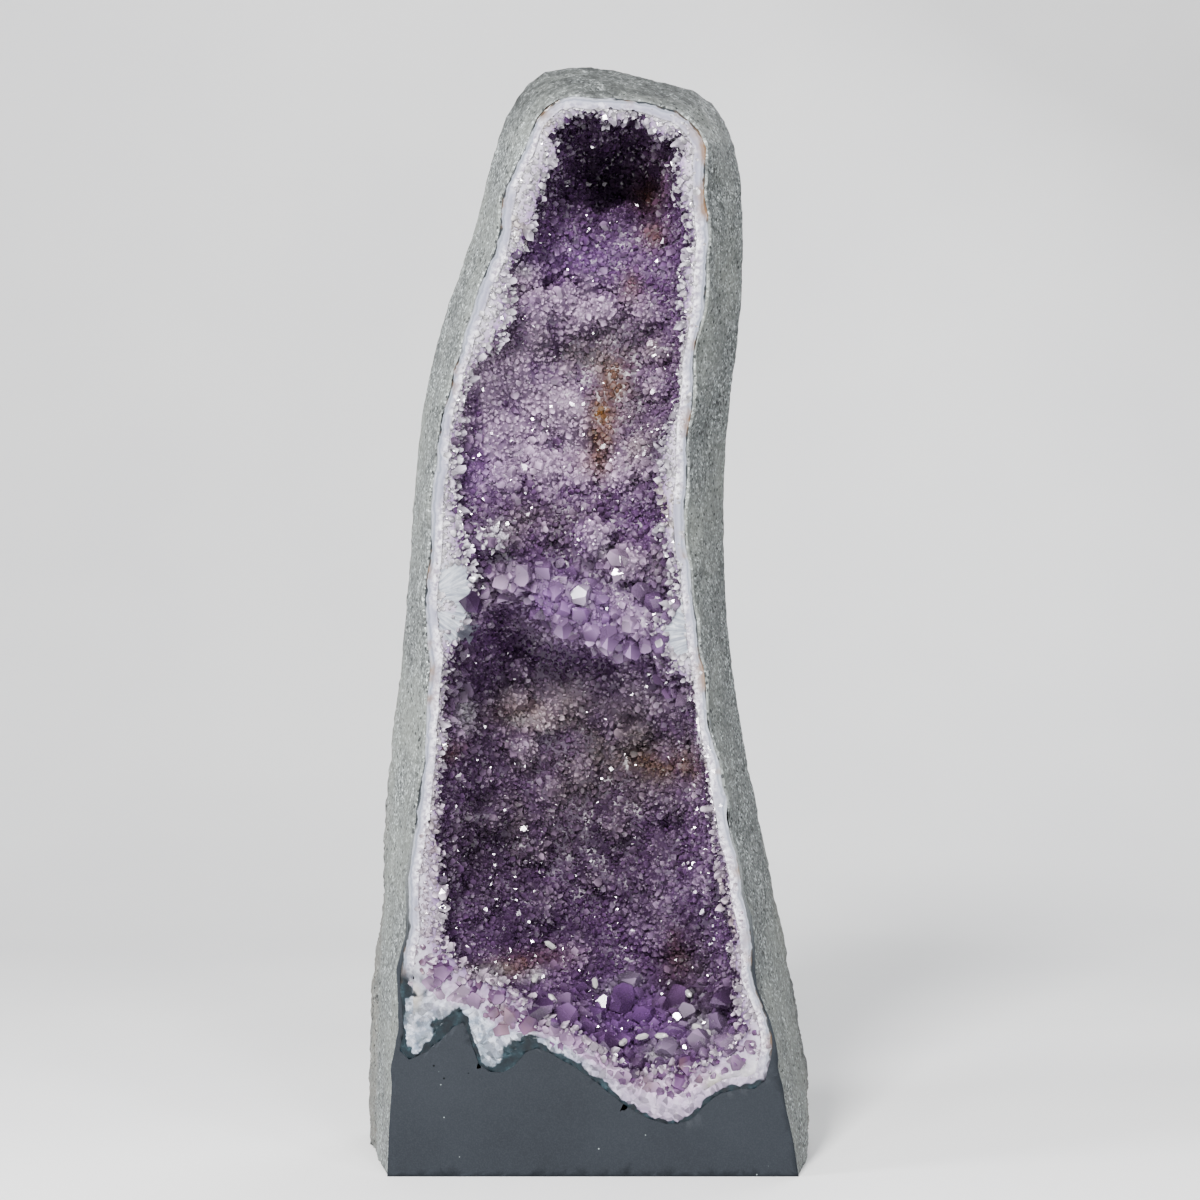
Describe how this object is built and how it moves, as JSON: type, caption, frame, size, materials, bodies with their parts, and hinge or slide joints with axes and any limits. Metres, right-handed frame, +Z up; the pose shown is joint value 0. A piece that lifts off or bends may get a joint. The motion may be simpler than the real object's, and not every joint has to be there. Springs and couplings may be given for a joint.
{
  "type": "amethyst geode",
  "caption": "Tall cathedral-cut amethyst geode with a sawn face, an open crystal-lined hollow and a flat sawn base to stand on.",
  "frame": {"origin": "middle of the bounding box's bottom, on the sawn base", "axes": "+Z up along the height, the sawn open face looks towards -Y, +X to the right seen from the front"},
  "size_m": [0.268, 0.1852, 0.63],
  "materials": {
    "basalt": "ground and sawn, matt",
    "agate": "polished edge",
    "amethyst": "glassy crystal points",
    "quartz": "glassy"
  },
  "bodies": {
    "root": {"basalt_rind": "basalt", "agate_band": "agate", "amethyst_lining": "amethyst", "loose_grain_01": "quartz", "loose_grain_02": "quartz", "loose_grain_03": "quartz", "loose_grain_04": "quartz", "loose_grain_05": "quartz", "loose_grain_06": "quartz", "loose_grain_07": "quartz", "loose_grain_08": "quartz", "loose_grain_09": "quartz", "loose_grain_10": "quartz", "loose_grain_11": "quartz", "loose_grain_12": "quartz"}
  },
  "joints": []
}
